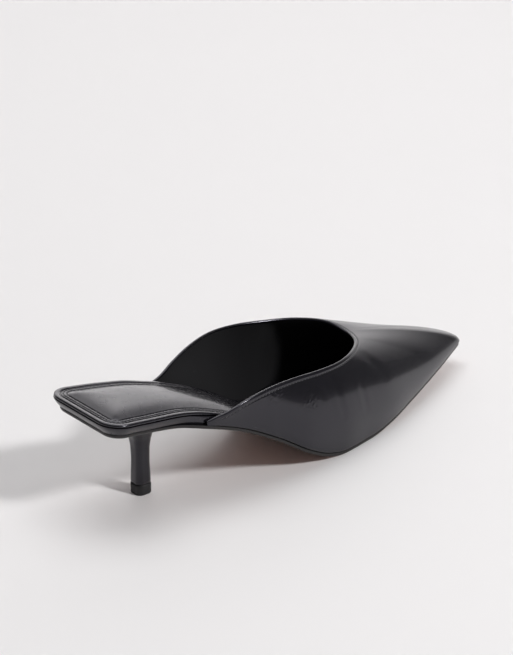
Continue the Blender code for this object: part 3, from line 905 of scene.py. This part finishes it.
def rib_faces(rib, normals, lines):
    """Outer and inner points of one rib, with its folds, groove, roll and curled foot."""
    s = sizes()
    length = running_lengths(rib)[-1]
    radius = FOOT_ROWS[0]
    outside = []
    inside = []
    for point, normal, down in zip(rib, normals, rib_rows(length)):
        up = length - down
        fold = crease_height(point, lines) * ease(down / CREASE_FADE_TOP) * ease(up / CREASE_FADE_FOOT)
        relief = 0.0
        if length > RELIEF_LENGTH:
            relief = sum(height * MM * math.exp(-((down - at * MM) / (width * MM)) ** 2)
                         for at, width, height in EDGE_RELIEF)
        curl = 0.0
        if up < radius and length > CURL_LENGTH:
            curl = radius - math.sqrt(max(radius ** 2 - (radius - up) ** 2, 0.0))
        outside.append(point + normal * (fold + relief - FOOT_CURL * curl))
        inner = point - normal * s.wall + normal * fold * CREASE_INSIDE
        inner.z = max(inner.z, seat_z(inner.x))
        inside.append(inner)
    inside[-1].z = seat_z(inside[-1].x)
    return outside, inside


def turned_edge(rib, outer, inner):
    """The half round between the outer and the inner face, whose crown is the topline."""
    radius = sizes().wall / 2
    middle = (outer + inner) / 2
    side = (outer - inner).normalized()
    up = (rib[0] - rib[1]).normalized()
    up = (up - side * up.dot(side)).normalized()
    arc = []
    for angle in (math.pi * step / TURN_STEPS for step in range(1, TURN_STEPS)):
        arc.append(middle + side * radius * math.cos(angle) + up * radius * TURN_CROWN * math.sin(angle))
    return arc


def make_upper():
    """The lasted upper with its wall, rolled topline, stitch groove and creases."""
    ribs, places = upper_face()
    lines = crease_lines(ribs, places)
    groove = EDGE_RELIEF[0][0] * MM
    loops = []
    seam = []
    for rib, normals in zip(ribs, face_normals(ribs)):
        outside, inside = rib_faces(rib, normals, lines)
        loops.append(outside[::-1] + turned_edge(rib, outside[0], inside[0]) + inside)
        length = running_lengths(rib)[-1]
        if length >= STITCH_LENGTH:
            down = rib_rows(length)
            k = min(range(len(down)), key=lambda n: abs(down[n] - groove))
            seam.append(outside[k] + normals[k] * UPPER_THREAD_LIFT)
    columns = len(loops[0])
    lining = range(len(ribs[0]) + TURN_STEPS + 1, columns - 1)
    faces = ring_faces(len(loops), columns)
    slots = [int(k in lining) for k in range(columns)] * (len(loops) - 1)
    for a in (0, (len(loops) - 1) * columns):
        for k in range(columns // 2):
            corners = tuple(dict.fromkeys((a + k, a + k + 1, a + columns - 2 - k, a + columns - 1 - k)))
            if len(corners) > 2:
                faces.append(corners)
                slots.append(0)
    upper = mesh_object("upper_leather", [p for loop in loops for p in loop], faces,
                        ["Box calf, glazed", "Kid lining, knitted back"], 50, slots)
    outward(upper)
    settle(upper, "upper_leather", "upper")
    settle(stitches("topline_stitches", seam), "upper_leather")


def stacked_plate(name, rings, finishes, lift=None, sharp=35, cross=24):
    """Closed plate from stacked rings of (outline, height), its ruled top raised by lift(point).

    The underside and the lowest ring have the first finish, and the rest the last one.
    """
    builder = bmesh.new()
    loops = []
    for (lateral, medial), height in rings:
        toe = [lateral[-1].lerp(medial[-1], k / cross) for k in range(1, cross)]
        back = [medial[0].lerp(lateral[0], k / cross) for k in range(1, cross)]
        outline = lateral + toe + medial[::-1] + back
        loops.append([builder.verts.new((p.x, p.y, height(p.x))) for p in outline])
    last_slot = len(finishes) - 1
    for level, (low, high) in enumerate(zip(loops, loops[1:])):
        for i in range(len(low)):
            j = (i + 1) % len(low)
            builder.faces.new((low[i], low[j], high[j], high[i])).material_index = min(level, last_slot)
    toe = len(rings[0][0][0]) - 1
    caps = ((loops[0], rings[0][1], None, 0), (loops[-1], rings[-1][1], lift, last_slot))
    for loop, height, rise, slot in caps:
        rows = [[loop[0]] + loop[:-cross - 1:-1]]
        for i in range(1, toe):
            start = loop[i]
            end = loop[2 * toe + cross - i]
            row = [start]
            for k in range(1, cross):
                point = start.co.lerp(end.co, k / cross)
                point.z = height(point.x) + (rise(point) if rise else 0.0)
                row.append(builder.verts.new(point))
            rows.append(row + [end])
        rows.append(loop[toe:toe + cross + 1])
        for near, far in zip(rows, rows[1:]):
            for k in range(cross):
                builder.faces.new((near[k], near[k + 1], far[k + 1], far[k])).material_index = slot
    bmesh.ops.recalc_face_normals(builder, faces=builder.faces[:])
    mesh = bpy.data.meshes.new(name)
    builder.to_mesh(mesh)
    builder.free()
    return shaded_object(name, mesh, finishes, sharp)


def make_outsole():
    """The thin outsole: resin underside and a rounded, inked edge."""
    s = sizes()
    feather = feather_outline()
    rings = []
    for inward, up in OUTSOLE_EDGE:
        flush = s.outsole_inset * ease(up / OUTSOLE_FLUSH)
        ring = moved_outline(feather, lambda x: flush * seat_lead(x) - s.outsole_inset - inward * MM)
        rings.append((ring, raised(sole_z, up / OUTSOLE_EDGE[-1][1] * s.outsole)))
    sole = stacked_plate("outsole_resin", rings, ["Resin sole, moulded", "Sole edge, inked"])
    settle(sole, "outsole_resin", "outsole")


def make_platform():
    """The covered board: a leather-wrapped wall round the seat that rolls over at its top."""
    s = sizes()
    feather = feather_outline()
    foot = moved_outline(feather, platform_foot_offset)
    rim = moved_outline(feather, platform_offset)

    def ring(share, inward, drop):
        """One ring of the wall, at a share of its height, moved in and lowered in millimetres."""
        outline = tuple([a.lerp(b, share) for a, b in zip(low, high)] for low, high in zip(foot, rim))
        moved = moved_outline(outline, lambda x: -inward * MM)
        return (shortened(moved, s.board_toe_gap),
                lambda x: seat_z(x) + (board_top(x) - seat_z(x)) * share - drop * MM)

    board = stacked_plate("seat_platform", [ring(*row) for row in PLATFORM_WALL], ["Rand leather, wrapped"])
    settle(board, "board_leather", "insole")


def sock_squeeze(x):
    """The sock's border narrows with the shoe towards the toe."""
    rows = outline_rows()
    share = x_to_along(x)
    half_width = (smooth_table(rows, 2, share) - smooth_table(rows, 1, share)) * sizes().ball_width / 2
    return min(1.0, half_width / BORDER_WIDTH)


def border_line(rim, inward):
    """Line round the sock, a number of millimetres in from its rim."""
    return moved_outline(rim, lambda x: -inward * MM * sock_squeeze(x))


def make_sock():
    """The padded sock: rolled rim, sewn border with two rows of stitches, and a puffed centre."""
    s = sizes()
    rim = moved_outline(feather_outline(), lambda x: platform_offset(x) - s.clearance)
    rings = [(moved_outline(rim, lambda x: -inward * MM), raised(sock_bottom, up * MM))
             for inward, up in SOCK_UNDERSIDE]
    rings += [(border_line(rim, inward), raised(sock_top, rise * MM))
              for inward, rise in SOCK_EDGE_PROFILE[:SOCK_RINGS]]
    rings = [(shortened(outline, s.sock_toe_gap), height) for outline, height in rings]
    loop = rim[0] + rim[1][::-1]
    border = list(zip(loop, loop[1:] + loop[:1]))
    pad_edge, pad_base = SOCK_EDGE_PROFILE[SOCK_RINGS - 1]

    def puff(point):
        """The pad's rise above its border, by the distance from the sock's edge."""
        reach = min(segment_distance(point.xy, a, b)[0] for a, b in border
                    if abs(a.x - point.x) < EDGE_SEARCH) / sock_squeeze(point.x) / MM
        rise = smooth_table(SOCK_EDGE_PROFILE, 1, max(reach, pad_edge)) - pad_base
        back = ease((along_to_x(PAD_FRONT_PLACE) - point.x) / PAD_FADE)
        return rise * MM * (PAD_FRONT + (1 - PAD_FRONT) * back)

    sock = stacked_plate("sock_lining", rings, ["Sock sheep leather, padded"], lift=puff, sharp=70)
    settle(sock, "sock_leather", "sock")
    for number, inward in enumerate(STITCH_ROWS, 1):
        lateral, medial = shortened(border_line(rim, inward), STITCH_TOE_GAP)
        rise = smooth_table(SOCK_EDGE_PROFILE, 1, inward) * MM + SOCK_THREAD_LIFT
        path = [Vector((p.x, p.y, sock_top(p.x) + rise)) for p in medial[::-1] + lateral]
        settle(stitches(f"sock_stitches_{number}", path), "sock_leather")


def rounded_square(width):
    """Points of a square with rounded corners, centred on the origin."""
    radius = width * HEEL_CORNER
    flat = width / 2 - radius
    points = []
    for quarter in range(4):
        turn = math.pi / 2 * quarter
        middle = turn + math.pi / 4
        centre = Vector((math.cos(middle), math.sin(middle))) * flat * math.sqrt(2)
        for step in range(HEEL_CORNER_POINTS):
            angle = turn + math.pi / 2 * step / (HEEL_CORNER_POINTS - 1)
            points.append(centre + Vector((math.cos(angle), math.sin(angle))) * radius)
    return points


def ring_stack(name, loops, finish):
    """Closed solid through stacked loops, with flat caps."""
    count = len(loops[0])
    top = (len(loops) - 1) * count
    faces = ring_faces(len(loops), count) + [tuple(range(count))[::-1], tuple(range(top, top + count))]
    thing = mesh_object(name, [p for loop in loops for p in loop], faces, [finish], 40)
    outward(thing)
    return thing


def make_heel():
    """The slim heel in its leather cover, which is turned in at the top piece."""
    s = sizes()
    base = s.top_piece + s.clearance
    loops = []
    for level in range(HEEL_LEVELS + 1):
        rise = level / HEEL_LEVELS
        trumpet = smooth_table(HEEL_SECTIONS, 2, rise)
        width = s.tip_width * smooth_table(HEEL_SECTIONS, 1, rise) + (s.trumpet_width - s.tip_width) * trumpet
        loop = []
        for p in rounded_square(width - 2 * COVER_TURN * math.exp(-rise * COVER_FADE)):
            x = p.x + s.trumpet_shift * trumpet
            top = sole_z(x) - s.clearance
            loop.append(Vector((x, p.y, base + (top - base) * rise)))
        loops.append(loop)
    settle(ring_stack("heel_cover", loops, "Heel leather, wrapped"), "heel_cover", "heel")


def make_top_piece():
    """The rubber top piece, bevelled where it meets the floor and the heel."""
    s = sizes()
    loops = []
    for inward, up in TOP_PIECE_EDGE:
        height = up / TOP_PIECE_EDGE[-1][1] * s.top_piece
        loops.append([Vector((p.x, p.y, height)) for p in rounded_square(s.tip_width - 2 * inward * MM)])
    settle(ring_stack("rubber_top_piece", loops, "Rubber, moulded"), "top_piece_rubber", "top_piece")


def backdrop_row(t):
    """Distance away and height of the backdrop at a share of its run: floor, sweep and wall."""
    if t < 0.4:
        return FLOOR_FRONT + t / 0.4 * (FLOOR_BACK - FLOOR_FRONT), 0.0
    if t < 0.8:
        angle = (t - 0.4) / 0.4 * math.pi / 2
        return FLOOR_BACK + SWEEP * math.sin(angle), SWEEP * (1 - math.cos(angle))
    return FLOOR_BACK + SWEEP, SWEEP + (t - 0.8) / 0.2 * WALL


def aim(thing, at, direction):
    """Put a light or camera in its place and turn it along a direction."""
    thing.location = at
    thing.rotation_euler = direction.to_track_quat("-Z", "Y").to_euler()


def soft_box(name, at, to, width, height, watts):
    """A soft box aimed at a point."""
    data = bpy.data.lights.new(name, "AREA")
    data.shape = "RECTANGLE"
    data.size = width
    data.size_y = height
    data.energy = watts
    aim(new_object(name, data), at, to - at)


def make_stage():
    """Floor with a swept backdrop, soft boxes, sky and the photograph's camera."""
    away = Vector((math.sin(VIEW_BEARING), math.cos(VIEW_BEARING), 0.0))
    right = Vector((away.y, -away.x, 0.0))
    above = Vector((0.0, 0.0, 1.0))
    vertices = []
    for reach, height in (backdrop_row(step / BACKDROP_STEPS) for step in range(BACKDROP_STEPS + 1)):
        for side in (-HALF_WIDTH, HALF_WIDTH):
            p = away * reach + right * side
            vertices.append((p.x, p.y, height))
    faces = [(a + 2, a + 3, a + 1, a) for a in range(0, 2 * BACKDROP_STEPS, 2)]
    mesh_object("studio_floor", vertices, faces, ["Studio floor, painted"], 60)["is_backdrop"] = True
    side = (right * KEY_SIDE[0] + away * KEY_SIDE[1]).normalized()
    key = side * math.cos(KEY_HEIGHT) + above * math.sin(KEY_HEIGHT)
    middle = SHOE_MIDDLE
    soft_box("Key soft box", middle + key * KEY_DISTANCE, middle, width=0.36, height=0.36, watts=42.0)
    soft_box("Top soft box", middle + away * 0.9 + above * 2.4, middle + away * 0.6,
             width=2.4, height=1.8, watts=35.0)
    soft_box("Backdrop soft box", middle + away * 1.8 + above * 1.7, middle + away * 3.2 + above * 1.1,
             width=2.4, height=0.8, watts=42.0)
    world = bpy.data.worlds.new("Studio")
    world.use_nodes = True
    sky = world.node_tree.nodes["Background"].inputs
    sky["Color"].default_value = SKY
    sky["Strength"].default_value = SKY_STRENGTH
    bpy.context.scene.world = world
    bpy.context.scene.view_settings.view_transform = "Standard"
    look = away * math.cos(VIEW_HEIGHT) - above * math.sin(VIEW_HEIGHT)
    up = right.cross(look)
    data = bpy.data.cameras.new("Camera")
    data.sensor_fit = "AUTO"
    data.sensor_width = SENSOR_MM
    data.lens = FOCAL_PX * SENSOR_MM / FRAME_PX[1]
    data.clip_start = 0.05
    data.clip_end = 50
    camera = new_object("Camera", data)
    aim(camera, -look * VIEW_DISTANCE + right * VIEW_RIGHT + up * VIEW_UP,
        (look * FOCAL_PX + right * PAN_PX).normalized())
    bpy.context.scene.camera = camera


class MuleOperator:
    """What the operators share: each makes its piece and is done."""

    bl_options = {"REGISTER", "UNDO"}

    def execute(self, context):
        self.make()
        return {"FINISHED"}


class MULE_OT_outsole(MuleOperator, bpy.types.Operator):
    """Make the outsole"""

    bl_idname = "mule.outsole"
    bl_label = "Outsole"
    make = staticmethod(make_outsole)


class MULE_OT_platform(MuleOperator, bpy.types.Operator):
    """Make the covered platform of the seat"""

    bl_idname = "mule.platform"
    bl_label = "Seat platform"
    make = staticmethod(make_platform)


class MULE_OT_sock(MuleOperator, bpy.types.Operator):
    """Make the padded sock and its two rows of stitches"""

    bl_idname = "mule.sock"
    bl_label = "Sock lining"
    make = staticmethod(make_sock)


class MULE_OT_upper(MuleOperator, bpy.types.Operator):
    """Make the upper and its topline stitches"""

    bl_idname = "mule.upper"
    bl_label = "Upper"
    make = staticmethod(make_upper)


class MULE_OT_heel(MuleOperator, bpy.types.Operator):
    """Make the covered heel"""

    bl_idname = "mule.heel"
    bl_label = "Heel"
    make = staticmethod(make_heel)


class MULE_OT_top_piece(MuleOperator, bpy.types.Operator):
    """Make the rubber top piece under the heel"""

    bl_idname = "mule.top_piece"
    bl_label = "Top piece"
    make = staticmethod(make_top_piece)


class MULE_OT_stage(MuleOperator, bpy.types.Operator):
    """Make the floor, the lights and the camera"""

    bl_idname = "mule.stage"
    bl_label = "Stage"
    make = staticmethod(make_stage)


OPERATORS = (MULE_OT_stage, MULE_OT_outsole, MULE_OT_platform, MULE_OT_sock, MULE_OT_upper, MULE_OT_heel,
             MULE_OT_top_piece)


class MULE_PT_panel(bpy.types.Panel):
    """Lists the shoe's pieces, sizes and colours"""

    bl_idname = "MULE_PT_panel"
    bl_label = "Kitten heel mule"
    bl_space_type = "VIEW_3D"
    bl_region_type = "UI"
    bl_category = "Mule"

    def draw(self, context):
        for operator in OPERATORS:
            self.layout.operator(operator.bl_idname)
        for group in (context.scene.mule_sizes, context.scene.mule_colours):
            box = self.layout.box()
            for name in group.__annotations__:
                box.prop(group, name)


CLASSES = (MuleSizes, MuleColours) + OPERATORS + (MULE_PT_panel,)


def register():
    """Register the classes and hang the sizes and colours on the scene."""
    for item in CLASSES:
        bpy.utils.register_class(item)
    bpy.types.Scene.mule_sizes = bpy.props.PointerProperty(type=MuleSizes)
    bpy.types.Scene.mule_colours = bpy.props.PointerProperty(type=MuleColours)


def unregister():
    """Undo what register did."""
    del bpy.types.Scene.mule_colours
    del bpy.types.Scene.mule_sizes
    for item in reversed(CLASSES):
        bpy.utils.unregister_class(item)


def main():
    """Build the shoe and its stage."""
    register()
    bpy.ops.mule.stage()
    bpy.ops.mule.outsole()
    bpy.ops.mule.platform()
    bpy.ops.mule.sock()
    bpy.ops.mule.upper()
    bpy.ops.mule.heel()
    bpy.ops.mule.top_piece()


if __name__ == "__main__":
    main()
